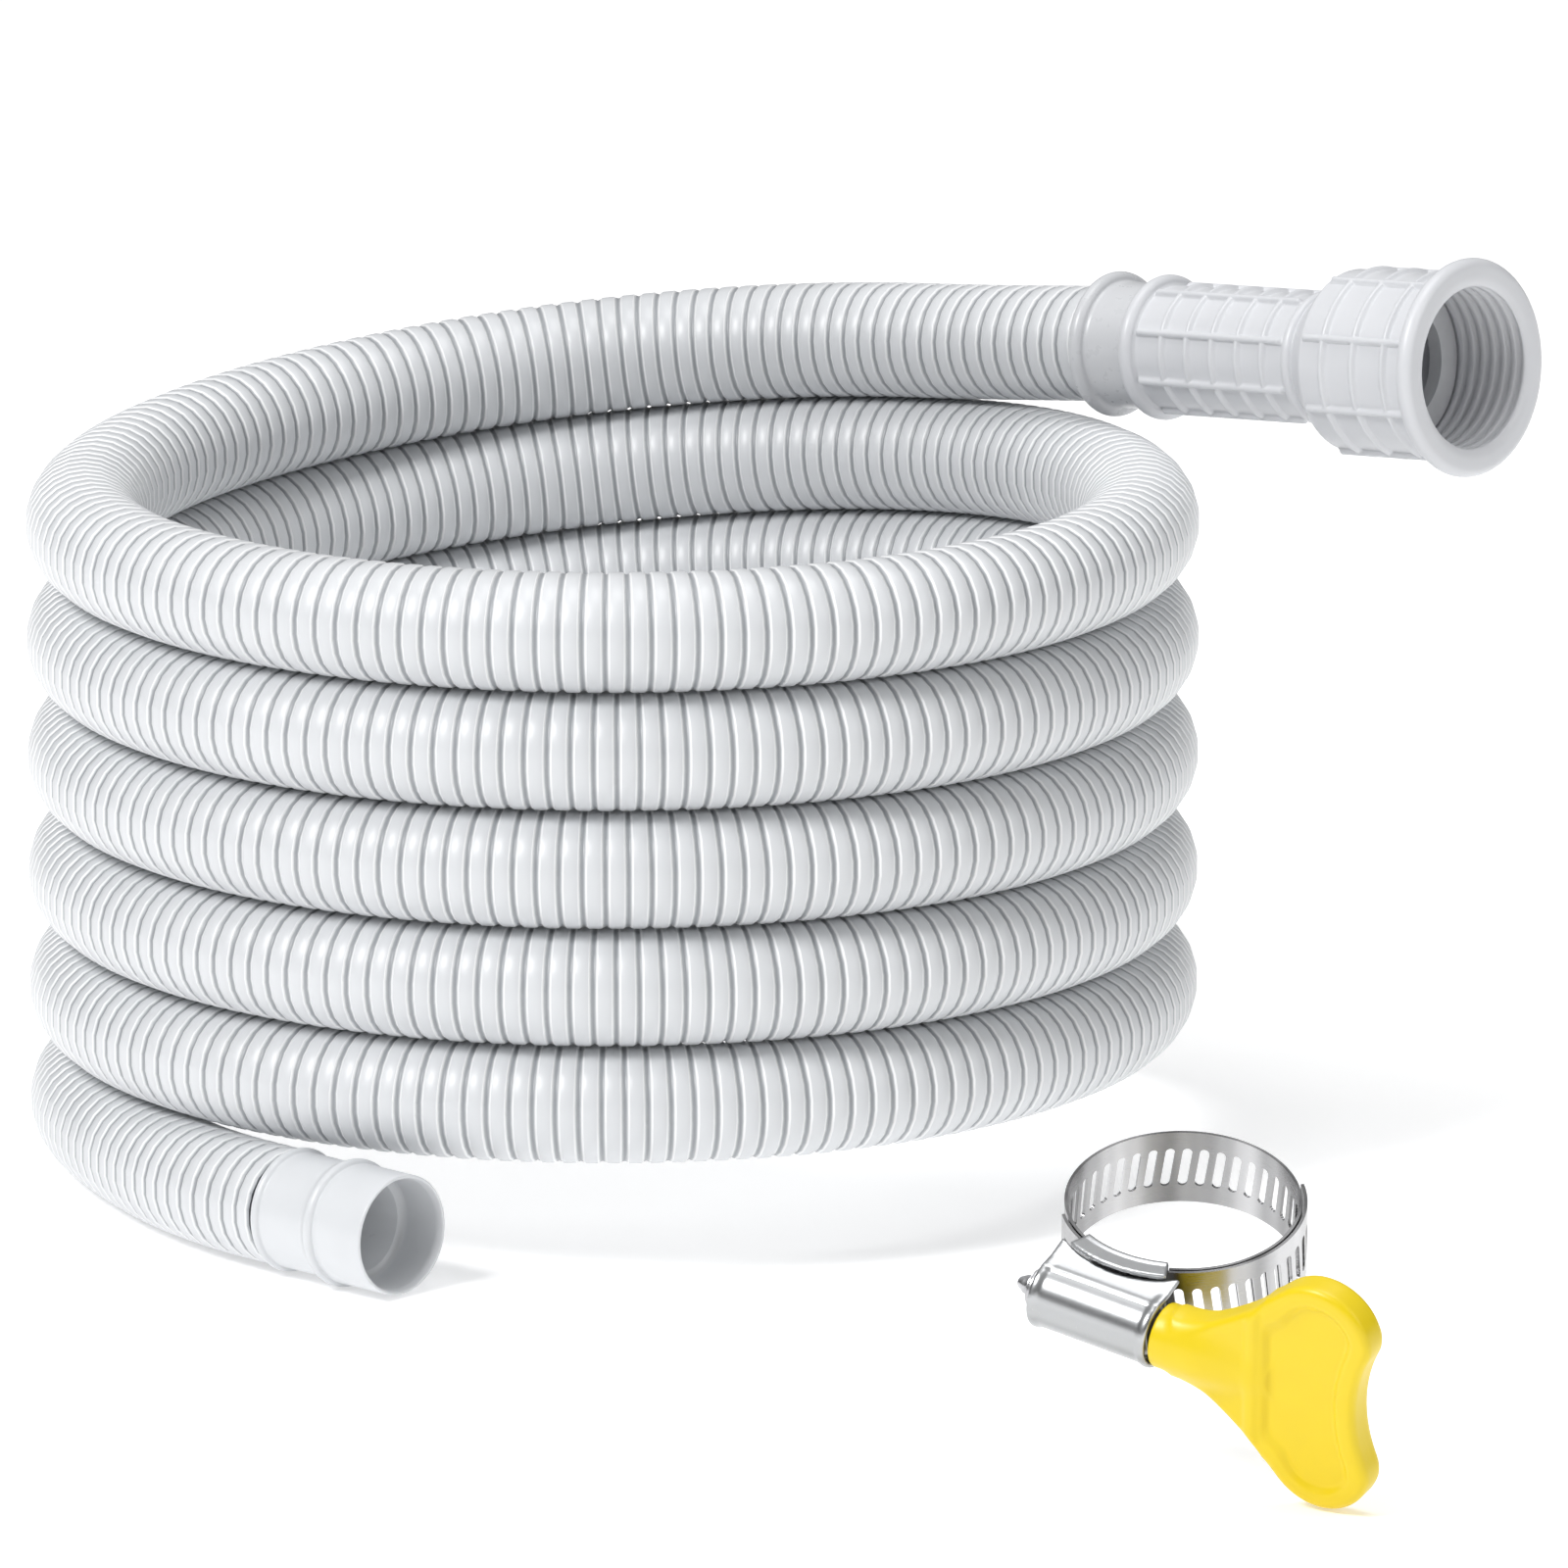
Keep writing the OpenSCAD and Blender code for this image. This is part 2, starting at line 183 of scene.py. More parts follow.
def cell_points(d, inside):
    """Which cells the surface passes through, and where in each, as a share of the cell."""
    cells = tuple(n - 1 for n in d.shape)
    total, count = np.zeros(cells + (3,)), np.zeros(cells)
    for c in [(i, j, k) for i in (0, 1) for j in (0, 1) for k in (0, 1)]:
        for axis in range(3):
            if c[axis]:
                continue
            c2 = tuple(v + (1 if n == axis else 0) for n, v in enumerate(c))
            d0, d1 = corner(d, c), corner(d, c2)
            cut = corner(inside, c) != corner(inside, c2)
            t = np.where(cut, d0 / np.where(d0 == d1, 1, d0 - d1), 0)
            for n in range(3):
                total[..., n] += np.where(cut, c[n] + (t if n == axis else 0), 0)
            count += cut
    used = count > 0
    return used, total[used] / count[used][:, None]


def crossing_quads(inside, index, axis):
    """A quad between the four cells round every grid edge along one axis that the surface cuts."""
    u, v = (axis + 1) % 3, (axis + 2) % 3
    first, second = [slice(None)] * 3, [slice(None)] * 3
    first[axis], second[axis] = slice(0, -1), slice(1, None)
    e = np.stack(np.nonzero(inside[tuple(first)] != inside[tuple(second)]), -1)
    e = e[(e[:, u] > 0) & (e[:, v] > 0)]
    e = e[(e[:, u] < inside.shape[u] - 1) & (e[:, v] < inside.shape[v] - 1)]
    eu, ev = np.eye(3, dtype=int)[u], np.eye(3, dtype=int)[v]
    quad = np.stack([index[tuple((e - s).T)] for s in (eu * 0, eu, eu + ev, ev)], -1)
    out = inside[tuple(e.T)]
    quad[~out] = quad[~out][:, ::-1]
    return quad


def nets(name, field, low, high, step, matrix):
    """The surface where field(x, y, z) is 0 (negative inside), by naive surface nets."""
    axes = [np.arange(lo, hi + step, step) for lo, hi in zip(low, high)]
    d = field(*np.meshgrid(*axes, indexing="ij"))
    inside = d < 0
    used, share = cell_points(d, inside)
    index = -np.ones(used.shape, int)
    index[used] = np.arange(used.sum())
    verts = np.array(low) + (np.stack(np.nonzero(used), -1) + share) * step
    faces = np.concatenate([crossing_quads(inside, index, axis) for axis in range(3)])
    return make_object(name, verts, faces.tolist(), matrix)


def bump_up(d, half, edge):
    """1 within half of the middle, falling smoothly to 0 over edge."""
    t = np.clip((half + edge - np.abs(d)) / edge, 0, 1)
    return t * t * (3 - 2 * t)


def smin(a, b, k):
    """Smooth union of two distance fields."""
    h = np.clip(0.5 + 0.5 * (b - a) / k, 0, 1)
    return b + (a - b) * h - k * h * (1 - h)


def smax(a, b, k):
    return -smin(-a, -b, k)


# ---------------------------------------------------------------- hose

RIB_PITCH = 3.351
ROOT_R = 9.19
CREST_R = 9.59
SHOULDER_R = 9.42
# Place along one rib's pitch, radius, how far up the rib it is, and its normal's lean in degrees.
RIB_SHAPE = [
    (0.0, ROOT_R, 0.0, 0),
    (0.145, SHOULDER_R, 0.8, -55),
    (0.22, CREST_R, 1.0, -14),
    (0.78, CREST_R, 1.0, 14),
    (0.855, SHOULDER_R, 0.8, 55),
]
HOSE_SIDES = 22
ROUTE_STEP = 10  # degrees round the coil between route points
CURVE_STEPS = 16  # curve points to each route span
# How far round from the right each climb between two levels lasts, lowest climb first.
CLIMBS = [80, 115, 150, 180, 180, 180]


def level_z(level):
    return HOSE_R + (COIL_LEVELS - level) * TURN_RISE


def on_coil(az, z):
    a = math.radians(az)
    return (COIL_R * math.cos(a), COIL_R * math.sin(a), z)


def coil_height(az, climb):
    """Height at an angle from the right, on the back of the coil, during one climb."""
    start = level_z(COIL_LEVELS - climb)
    span = CLIMBS[climb]
    if az >= span:
        return start
    return start + TURN_RISE * (1 + math.cos(math.pi * max(az, 0) / span)) / 2


def coil_route():
    """The six climbs and five front passes, as points one step apart."""
    points = [on_coil(az, level_z(COIL_LEVELS)) for az in range(TAIL_LEAVES, 180, -ROUTE_STEP)]
    for climb in range(COIL_LEVELS):
        last = climb == COIL_LEVELS - 1
        for az in range(180, LEAD_LEAVES if last else 0, -ROUTE_STEP):
            points.append(on_coil(az, coil_height(az, climb)))
        if not last:
            level = COIL_LEVELS - climb - 1
            for az in range(0, -180, -ROUTE_STEP):
                points.append(on_coil(az, level_z(level)))
    return points


def spline(points, per_span):
    """A smooth curve through the points (Catmull-Rom)."""
    p = np.array(points, float)
    p = np.vstack([2 * p[0] - p[1], p, 2 * p[-1] - p[-2]])
    t = np.linspace(0, 1, per_span, endpoint=False)[:, None]
    out = []
    for k in range(1, len(p) - 2):
        a, b, c, d = p[k - 1], p[k], p[k + 1], p[k + 2]
        out.append(0.5 * ((2 * b) + (c - a) * t + (2 * a - 5 * b + 4 * c - d) * t**2
                          + (3 * b - a - 3 * c + d) * t**3))
    out.append(p[-2][None])
    return np.vstack(out)


def resample(points, places):
    """Points at given distances along a polyline."""
    seg = np.linalg.norm(np.diff(points, axis=0), axis=1)
    s = np.concatenate([[0], np.cumsum(seg)])
    return np.stack([np.interp(places, s, points[:, n]) for n in range(3)], -1), s[-1]


def rib_rings(length):
    """Place, radius, crest and normal's lean of every ring of points along the hose."""
    rings = []
    for k in range(int(length / RIB_PITCH)):
        rings += [((k + u) * RIB_PITCH, r, crest, math.radians(lean)) for u, r, crest, lean in RIB_SHAPE]
    rings.append((length, ROOT_R, 0.0, 0.0))
    return np.array(rings).T


def unit_rows(v):
    return v / np.linalg.norm(v, axis=1)[:, None]


def ring_axes(curve, places, length):
    """Directions along, beside and above the curve at each place."""
    ahead, _ = resample(curve, np.clip(places + 1.0, 0, length))
    behind, _ = resample(curve, np.clip(places - 1.0, 0, length))
    along = unit_rows(ahead - behind)
    side = unit_rows(np.cross(along, [0, 0, 1]))
    return along, side, np.cross(side, along)


def make_hose():
    route = [p for p in reversed(TAIL_RUN)] + coil_route() + LEAD_RUN
    curve = spline(route, CURVE_STEPS)
    _, length = resample(curve, [0])
    places, radii, crest, lean = rib_rings(length)
    centre, _ = resample(curve, places)
    along, side, up = ring_axes(curve, places, length)
    th = np.array(even(HOSE_SIDES)) + math.pi / HOSE_SIDES
    ring = np.cos(th)[None, :, None] * side[:, None] + np.sin(th)[None, :, None] * up[:, None]
    shift = np.array([COIL_X, COIL_Y, 0])
    verts = (centre[:, None] + radii[:, None, None] * ring).reshape(-1, 3) + shift
    rows = len(places)
    faces = grid_faces(rows, HOSE_SIDES).tolist()
    faces.append(list(range(HOSE_SIDES)))
    faces.append([(rows - 1) * HOSE_SIDES + k for k in reversed(range(HOSE_SIDES))])
    ob = make_object("ribbed_hose", verts, [f[::-1] for f in faces])
    lean = lean[:, None, None]
    normals = np.cos(lean) * ring + np.sin(lean) * along[:, None]
    ob.data.normals_split_custom_set_from_vertices(normals.reshape(-1, 3))
    layer = ob.data.attributes.new("crest", "FLOAT", "POINT")
    layer.data.foreach_set("value", np.repeat(crest, HOSE_SIDES).astype(np.float32))
    path = [tuple(v) for v in (np.vstack([curve[::4], curve[-1:]]) + shift) * MM]
    return ob, path, length * MM


hose, hose_path, hose_length = make_hose()
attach(hose, "hose")
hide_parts("hose_coil", "hose_lead", "hose_tail")

# ---------------------------------------------------------------- collar and coupling

# The collar from its hose end, over the rim, the barrel and the neck with the grooves of the clip and
# the two O-rings, then back through the bore.
COLLAR_PROFILE = (
    [(9.6, -1.15), (9.75, -1.3)]
    + line(9.75, -1.3, 10.7, -1.3, 0.5)
    + arc(10.7, 0, 1.3, -90, 90, 16)
    + line(10.45, 1.5, 10.4, 8.95, 0.8)
    + arc(10.15, 8.95, 0.25, 0, 90, 4)
    + line(10.0, 9.2, 8.6, 9.2, 0.5)
    + line(8.6, 9.25, 8.6, 12.75, 0.8)
    + [(8.6, 12.75), (7.8, 12.75), (7.8, 13.75), (8.6, 13.75)]
    + [(8.6, 16.0), (7.8, 16.0), (7.8, 18.0), (8.6, 18.0)]
    + [(8.6, 20.5), (7.8, 20.5), (7.8, 22.5), (8.6, 22.5)]
    + [(8.6, 25.0), (8.4, 25.2), (6.6, 25.2), (6.4, 25.0)]
    + line(6.4, 24.5, 6.4, 7.7, 2.0)
    + [(6.5, 7.5), (9.6, 7.5)]
    + line(9.6, 7.0, 9.6, -1.1, 1.0)
)

THIN_R, WIDE_R, FLANGE_R, MOUTH_Z = 10.25, 14.9, 17.75, 76.0
# Stretches along the coupling: the ribbed thin barrel, the ribbed wide barrel and the thread.
THIN_ZONE, WIDE_ZONE, THREAD_ZONE = (12.2, 43.3), (51.2, 72.9), (61.9, 75.4)
RIB_COUNT, RIB_TURN, RIB_H, RIB_HALF, RIB_END = 8, 22.0, 0.95, 0.62, 0.5
RING_RIBS = [17.8 + 5.36 * k for k in range(5)] + [55.7 + 6.4 * k for k in range(3)]
RING_RIB_SHARE = 0.75  # a ring rib's height against a long one's
THREAD_R, THREAD_DEPTH, THREAD_PITCH, THREAD_END = 13.2, 0.75, 2.2, 0.8
THREAD_FLOOR, THREAD_FLANK = 0.12, 0.22  # half of a groove's floor and one flank, as shares of the pitch
# Angles off a long rib's middle in radians, close together at its sides.
RIB_SIDES = [-0.09, -0.06, -0.052, -0.042, -0.032, -0.018, 0, 0.018, 0.032, 0.042, 0.052, 0.06, 0.09]


def rib_thetas(between):
    """Angles with close points at each long rib's sides and a few between the ribs."""
    out = []
    half = math.pi / RIB_COUNT
    for k in range(RIB_COUNT):
        mid = math.radians(RIB_TURN) + 2 * half * k
        out += [mid + side for side in RIB_SIDES]
        a, b = RIB_SIDES[-1], 2 * half + RIB_SIDES[0]
        out += [mid + a + (b - a) * (n + 1) / (between + 1) for n in range(between)]
    return out


def rounded(d):
    """Height across a rib of rounded section, 0 to 1."""
    return np.sqrt(np.clip(1 - (d / RIB_HALF) ** 2, 0, 1))


def on_wall(r, z, radius, zone):
    """True for a profile's points on a straight wall of that radius, within a stretch of z."""
    return (np.abs(r - radius) < 0.01) & (z > zone[0]) & (z < zone[1])


def fade_in(z, zone, edge):
    """1 well inside a stretch of z, falling to 0 over edge at both of its ends."""
    return np.clip((z - zone[0]) / edge, 0, 1) * np.clip((zone[1] - z) / edge, 0, 1)


def grip_ribs(r, z, t):
    """Height of the long and the ring ribs, before they fade at the barrels' ends."""
    half = math.pi / RIB_COUNT
    off_rib = (t - math.radians(RIB_TURN) + half) % (2 * half) - half
    ring_rib = np.zeros_like(r)
    for place in RING_RIBS:
        ring_rib = np.maximum(ring_rib, rounded(z - place))
    return RIB_H * np.maximum(rounded(off_rib * r), RING_RIB_SHARE * ring_rib)


def coupling_shape(r, z, t):
    thin = np.where(on_wall(r, z, THIN_R, THIN_ZONE), fade_in(z, THIN_ZONE, RIB_END), 0)
    wide = np.where(on_wall(r, z, WIDE_R, WIDE_ZONE), fade_in(z, WIDE_ZONE, RIB_END), 0)
    threaded = np.where(on_wall(r, z, THREAD_R, THREAD_ZONE), fade_in(z, THREAD_ZONE, THREAD_END), 0)
    turn = (z / THREAD_PITCH - t / TAU) % 1.0
    groove = THREAD_DEPTH * bump_up(turn - 0.5, THREAD_FLOOR, THREAD_FLANK)
    return r + grip_ribs(r, z, t) * (thin + wide) + groove * threaded


def coupling_profile():
    """The coupling from its swivel end, over its outside to the mouth, then back through the bore."""
    p = [(8.75, 9.4)] + line(9.2, 9.4, 10.7, 9.4, 0.5)
    p += arc(10.7, 10.7, 1.3, -90, 82, 16)  # the rim next to the collar
    p += line(THIN_R, 12.15, THIN_R, 43.3, 0.22)
    p += arc(THIN_R - 0.2, 44.4, 1.0, -75, 75, 10)  # the bead at the neck
    p += line(10.5, 45.5, 10.7, 46.0, 0.3)
    p += line(10.75, 46.1, 14.6, 50.5, 0.6)  # the shoulder
    p += arc(14.1, 51.1, 0.8, -35, 0, 4)
    p += line(WIDE_R, 51.2, WIDE_R, 72.9, 0.22)
    p += arc(FLANGE_R - 1.4, MOUTH_Z - 1.5, 1.5, -90, 90, 16)  # the flange round the mouth
    p += line(15.6, MOUTH_Z, 14.2, MOUTH_Z, 0.5)
    p += [(13.7, 75.8), (13.35, 75.5)]
    p += line(THREAD_R, 75.35, THREAD_R, 61.8, 0.18)
    p += [(THREAD_R, 61.7), (13.6, 61.6), (13.6, 58.5), (11.5, 58.5)]  # the washer's seat
    p += [(11.5, 52.0), (9.4, 46.0), (9.4, 12.6), (8.65, 12.6), (8.65, 9.6)]
    return p


collar = lathe("hose_end_collar", COLLAR_PROFILE, even(96), FITTING)
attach(collar, "hose")
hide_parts("hose_collar")

coupling = lathe("coupling_shell", coupling_profile(), rib_thetas(6), FITTING, coupling_shape)
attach(coupling, "coupling")
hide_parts("swivel_coupling")

# ---------------------------------------------------------------- cuff

CUFF_PROFILE = (
    [(9.0, 0.0)]
    + arc(9.15, 0.9, 0.9, -90, 70, 12)
    + line(9.42, 2.0, 9.4, 11.8, 1.2)
    + arc(9.4, 13.1, 1.0, -75, 75, 12)
    + line(9.75, 14.3, 9.75, 24.2, 1.2)
    + arc(9.45, 24.4, 0.3, 0, 180, 8)
    + line(8.9, 24.0, 8.9, 16.1, 1.0)
    + [(8.9, 16.0), (7.7, 16.0), (7.6, 15.9), (7.6, 2.0), (6.4, 2.0), (6.4, -12.0), (7.2, -12.0), (7.2, 0.0)]
)
cuff = lathe("push_cuff", CUFF_PROFILE, even(96), CUFF)
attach(cuff, "hose")
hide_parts("plain_cuff")

# ---------------------------------------------------------------- clamp


def box_field(x, y, half_x, half_y, round_r):
    qx, qy = np.abs(x) - half_x + round_r, np.abs(y) - half_y + round_r
    return np.hypot(np.maximum(qx, 0), np.maximum(qy, 0)) + np.minimum(np.maximum(qx, qy), 0) - round_r


BARREL_R = WORM_R + 0.1
SKIRT_Z, SKIRT_OUT = 6.3, 6.2  # half height of the flared sides' edges, and how far out they end
ROLL_H, ROLL_EDGE = 0.3, 1.1  # the barrel's swelling at its rolled ends
COVER_FROM = 21.0  # the cover stops this far from the ring's axis
SADDLE_SPAN = 24  # degrees either side of the screw
# The saddle's folded edges: distance past the band's edge, half their thickness and half their height.
LIP_OUT, LIP_T, LIP_H = 0.5, 0.4, 1.75


def housing_field(x, y, z):
    """Pressed sheet round the screw, in the clamp's frame: a barrel and two flaring sides."""
    yy = y - SCREW_Y
    roll = ROLL_H * bump_up(np.abs(x) - HOUSING_LEN / 2 + 0.7, 0.2, ROLL_EDGE)
    round_part = np.hypot(yy, z) - BARREL_R - HOUSING_T / 2 - roll
    slope = (SKIRT_Z - BARREL_R) / SKIRT_OUT
    flank = (np.abs(z) - (BARREL_R + HOUSING_T / 2) - slope * np.maximum(yy, 0)) / math.hypot(1, slope)
    shell = smin(round_part, np.maximum(flank, -yy - 0.5), 0.8)
    sheet = np.abs(shell) - HOUSING_T / 2
    body = smax(sheet, np.abs(x) - HOUSING_LEN / 2, 0.5)
    return smax(body, COVER_FROM - np.hypot(x, y), 0.4)


def saddle_field(x, y, z):
    """The strip under the band, folded over both of the band's edges."""
    r = np.hypot(x, y)
    angle = np.degrees(np.arctan2(x, -y))
    past_edge = np.abs(z) - BAND_W / 2
    base = np.maximum(np.abs(r - BAND_R - BAND_T / 2) - BAND_T / 2, past_edge - LIP_OUT - LIP_T)
    lip = np.maximum(np.abs(past_edge - LIP_OUT) - LIP_T, np.abs(r - BAND_R - LIP_H) - LIP_H)
    d = smin(base, lip, 0.5)
    return smax(d, (np.abs(angle) - SADDLE_SPAN) * math.radians(1) * r, 0.6)


housing = nets("screw_cover", housing_field, (-12.5, SCREW_Y - 6.5, -8), (12.5, -15, 8), 0.24, CLAMP)
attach(housing, "clamp")
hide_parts("screw_housing")

saddle = nets("band_saddle", saddle_field, (-9, -22.5, -8.2), (9, -15.5, 8.2), 0.2, CLAMP)
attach(saddle, "clamp")
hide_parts("clamp_saddle")


WORM_CORE_R, WORM_ZONE, WORM_CREST = 3.3, (-9.9, 9.9), 0.14
CENTRE_R = 0.02  # a hair off the axis, so that no face there has a side of no length


def worm_shape(r, z, t):
    thread = np.where(on_wall(r, z, WORM_CORE_R, WORM_ZONE), fade_in(z, WORM_ZONE, 0.8), 0)
    turn = (z / WORM_PITCH - t / TAU) % 1.0
    return r + thread * bump_up(turn - 0.5, WORM_CREST, WORM_CREST) * (WORM_R - WORM_CORE_R)


# The screw from its pointed tip, past the waist that the tip collar sits on and the thread, to the head.
WORM_PROFILE = (
    [(CENTRE_R, -15.0), (0.7, -14.9)]
    + line(0.9, -14.7, 1.5, -13.6, 0.4)
    + [(1.5, -13.6), (1.5, -12.0), (3.1, -11.95)]
    + line(WORM_CORE_R, -11.8, WORM_CORE_R, 11.7, 0.2)
    + [(WORM_CORE_R, 11.7), (3.8, 11.8), (3.8, 19.5), (CENTRE_R, 19.6)]
)
worm = lathe("worm_shaft", WORM_PROFILE, even(48), SCREW, worm_shape)
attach(worm, "screw")
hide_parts("worm_screw")

# ---------------------------------------------------------------- wing key

LOBE_R, LOBE_OUT, LOBE_REACH = 9.2, 11.0, 28.3
WAIST_R, WAIST_AT = 25.5, 60.4
FLARE_FROM, FLARE_RUN, FLARE_START, FLARE_GROW = 4, 15, 4.9, 9.4
KEY_SHAFT_R, SHAFT_TAPER, SHAFT_END = 5.1, 2.9, 19.0
WING_T, WING_ROUND = 5.4, 1.3
# The wing's sunk panel: distance inside the outline, where it starts along the key, depth and slope.
PANEL_IN, PANEL_FROM, PANEL_DEPTH, PANEL_SLOPE = 2.6, 18.6, 0.8, 1.5
RIDGE_AT, RIDGE_H = 17.0, 0.45


def wing_outline(a, b, inside=0.0):
    """Distance to the wing's outline, or to a line inside it; a runs along the screw, b across."""
    b = np.abs(b)
    lobe = np.hypot(a - LOBE_REACH, b - LOBE_OUT) - (LOBE_R - inside)
    middle = box_field(a - LOBE_REACH, b, LOBE_R - inside, LOBE_OUT, 1.0)
    flare_half = FLARE_START - inside + np.clip((a - FLARE_FROM) / FLARE_RUN, 0, 1) ** 1.4 * FLARE_GROW
    flare = np.maximum((b - flare_half) * 0.8, np.maximum(a - LOBE_REACH, FLARE_FROM - 1 - a))
    body = smin(smin(lobe, middle, 2.0), flare, 3.0)
    waist = np.hypot(a - WAIST_AT, b) - WAIST_R - inside
    return smax(body, -waist, 1.2)


def wing_thickness(x, z, edge):
    """Half the wing's thickness: a raised rim round a sunk panel, and a low ridge next to the shaft."""
    panel = smax(wing_outline(z, x, PANEL_IN), PANEL_FROM - z, 2.0)
    inset = np.clip(-panel / PANEL_SLOPE, 0, 1)
    inset = inset * inset * (3 - 2 * inset)
    ridge = bump_up(z - RIDGE_AT, 0.3, 1.5) * np.clip(-edge / 1.5, 0, 1)
    return WING_T / 2 - PANEL_DEPTH * inset + RIDGE_H * ridge


def key_field(x, y, z):
    """The key in the screw's frame moved to the key's start: z along, x across, y its thickness."""
    edge = wing_outline(z, x)
    thick = wing_thickness(x, z, edge)
    out, off = edge + WING_ROUND, np.abs(y) - thick + WING_ROUND
    wing = np.hypot(np.maximum(out, 0), np.maximum(off, 0)) + np.minimum(np.maximum(out, off), 0) - WING_ROUND
    taper = KEY_SHAFT_R - np.clip((z - 7) / 12, 0, 1) ** 1.5 * SHAFT_TAPER
    shaft = np.maximum(np.hypot(x * 0.98, y) - taper, z - SHAFT_END)
    return smax(smin(wing, shaft, 2.2), -z, 0.5)


KEY = SCREW @ Matrix.Translation(Vector((0, 0, KEY_X * MM)))
key = nets("wing_grip", key_field, (-21.6, -6.2, -0.6), (21.6, 6.2, 38.5), 0.26, KEY)
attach(key, "screw")
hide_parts("wing_key")

# ---------------------------------------------------------------- materials


class Nodes:
    """A Principled material with small helpers for its node tree."""

    def __init__(self, name, color, rough, metallic=0.0, **sockets):
        self.mat = bpy.data.materials.new(name)
        self.mat.use_nodes = True
        self.tree = self.mat.node_tree
        self.bsdf = self.tree.nodes["Principled BSDF"]
        self.bsdf.inputs["Base Color"].default_value = (*color, 1)
        self.bsdf.inputs["Roughness"].default_value = rough
        self.bsdf.inputs["Metallic"].default_value = metallic
        for key, value in sockets.items():
            self.bsdf.inputs[key.replace("_", " ")].default_value = value

    def new(self, kind, **values):
        node = self.tree.nodes.new(kind)
        for key, value in values.items():
            setattr(node, key, value)
        return node

    def link(self, a, b):
        self.tree.links.new(a, b)

    def coords(self, scale=(1, 1, 1), matrix=None):
        """Object coordinates in millimetres, in a piece's own frame if a matrix is given."""
        tex = self.new("ShaderNodeTexCoord")
        out = tex.outputs["Object"]
        if matrix is not None:
            inverse = matrix.inverted()
            rows = []
            for k in range(3):
                dot = self.new("ShaderNodeVectorMath", operation="DOT_PRODUCT")
                self.link(out, dot.inputs[0])
                dot.inputs[1].default_value = tuple(inverse[k][:3])
                add = self.new("ShaderNodeMath", operation="ADD")
                self.link(dot.outputs["Value"], add.inputs[0])
                add.inputs[1].default_value = inverse[k][3]
                rows.append(add.outputs[0])
            join = self.new("ShaderNodeCombineXYZ")
            for k in range(3):
                self.link(rows[k], join.inputs[k])
            out = join.outputs[0]
        scaled = self.new("ShaderNodeVectorMath", operation="MULTIPLY")
        self.link(out, scaled.inputs[0])
        scaled.inputs[1].default_value = tuple(1000 * s for s in scale)
        return scaled.outputs[0]

    def noise(self, vector, scale, detail=3.0, rough=0.5):
        n = self.new("ShaderNodeTexNoise")
        self.link(vector, n.inputs["Vector"])
        n.inputs["Scale"].default_value = scale
        n.inputs["Detail"].default_value = detail
        n.inputs["Roughness"].default_value = rough
        return n.outputs["Fac"]

    def span(self, value, low, high, source=(0.0, 1.0)):
        m = self.new("ShaderNodeMapRange")
        self.link(value, m.inputs["Value"])
        m.inputs["From Min"].default_value, m.inputs["From Max"].default_value = source
        m.inputs["To Min"].default_value, m.inputs["To Max"].default_value = low, high
        return m.outputs["Result"]

    def blend(self, value, a, b):
        m = self.new("ShaderNodeMix", data_type="RGBA")
        self.link(value, m.inputs["Factor"])
        m.inputs["A"].default_value, m.inputs["B"].default_value = (*a, 1), (*b, 1)
        return m.outputs["Result"]

    def ramp(self, value, stops):
        r = self.new("ShaderNodeValToRGB")
        self.link(value, r.inputs["Fac"])
        table = r.color_ramp.elements
        while len(table) < len(stops):
            table.new(0.5)
        for element, (place, color) in zip(table, stops):
            element.position = place
            element.color = (*color, 1)
        return r.outputs["Color"]

    def multiply(self, color, value):
        m = self.new("ShaderNodeVectorMath", operation="SCALE")
        self.link(color, m.inputs[0])
        self.link(value, m.inputs["Scale"])
        return m.outputs["Vector"]

    def color(self, out):
        self.link(out, self.bsdf.inputs["Base Color"])

    def roughness(self, out):
        self.link(out, self.bsdf.inputs["Roughness"])

    def bump(self, height, strength, distance):
        b = self.new("ShaderNodeBump")
        b.inputs["Strength"].default_value = strength
        b.inputs["Distance"].default_value = distance * MM
        self.link(height, b.inputs["Height"])
        self.link(b.outputs["Normal"], self.bsdf.inputs["Normal"])


# Painted shade, darkest at a groove's root; a painted highlight, palest on the two edges of a rib; the rib's
# top a little greyer, in the plastic's own tone.
ROOT_PAINTED_SHADE, FLANK_PAINTED_SHADE, EDGE_PAINTED_HIGHLIGHT, TOP_TONE = (
    (0.27, 0.285, 0.305), (0.38, 0.395, 0.415), (0.86, 0.87, 0.88), (0.645, 0.66, 0.68))


def hose_material():
    n = Nodes("hose_polymer", TOP_TONE, 0.38, Specular_IOR_Level=0.7)
    attr = n.new("ShaderNodeAttribute", attribute_name="crest")
    v = n.coords()
    # The ramp over the crest attribute paints shade into the grooves and a highlight on the rib edges.
    stops = [(0.0, ROOT_PAINTED_SHADE), (0.45, FLANK_PAINTED_SHADE), (0.8, EDGE_PAINTED_HIGHLIGHT), (0.93, EDGE_PAINTED_HIGHLIGHT), (1.0, TOP_TONE)]
    tone = n.ramp(attr.outputs["Fac"], stops)
    n.color(n.multiply(tone, n.span(n.noise(v, 0.05, 2), 0.92, 1.04)))
    n.roughness(n.span(n.noise(v, 0.6, 3), 0.36, 0.42))
    n.bump(n.noise(v, 1.2, 4), 0.1, 0.015)
    return n.mat


def moulded(name, tones, rough, matrix, grain):
    """Moulded plastic: slight colour drift, a fine grain and uneven gloss."""
    dark, light = tones
    n = Nodes(name, light, rough, Specular_IOR_Level=0.5)
    v = n.coords(matrix=matrix)
    n.color(n.blend(n.noise(v, 0.12, 3), dark, light))
    n.roughness(n.span(n.noise(v, 0.5, 3), rough - 0.06, rough + 0.08))
    n.bump(n.noise(v, 2.4, 4), 0.08, grain)
    return n.mat


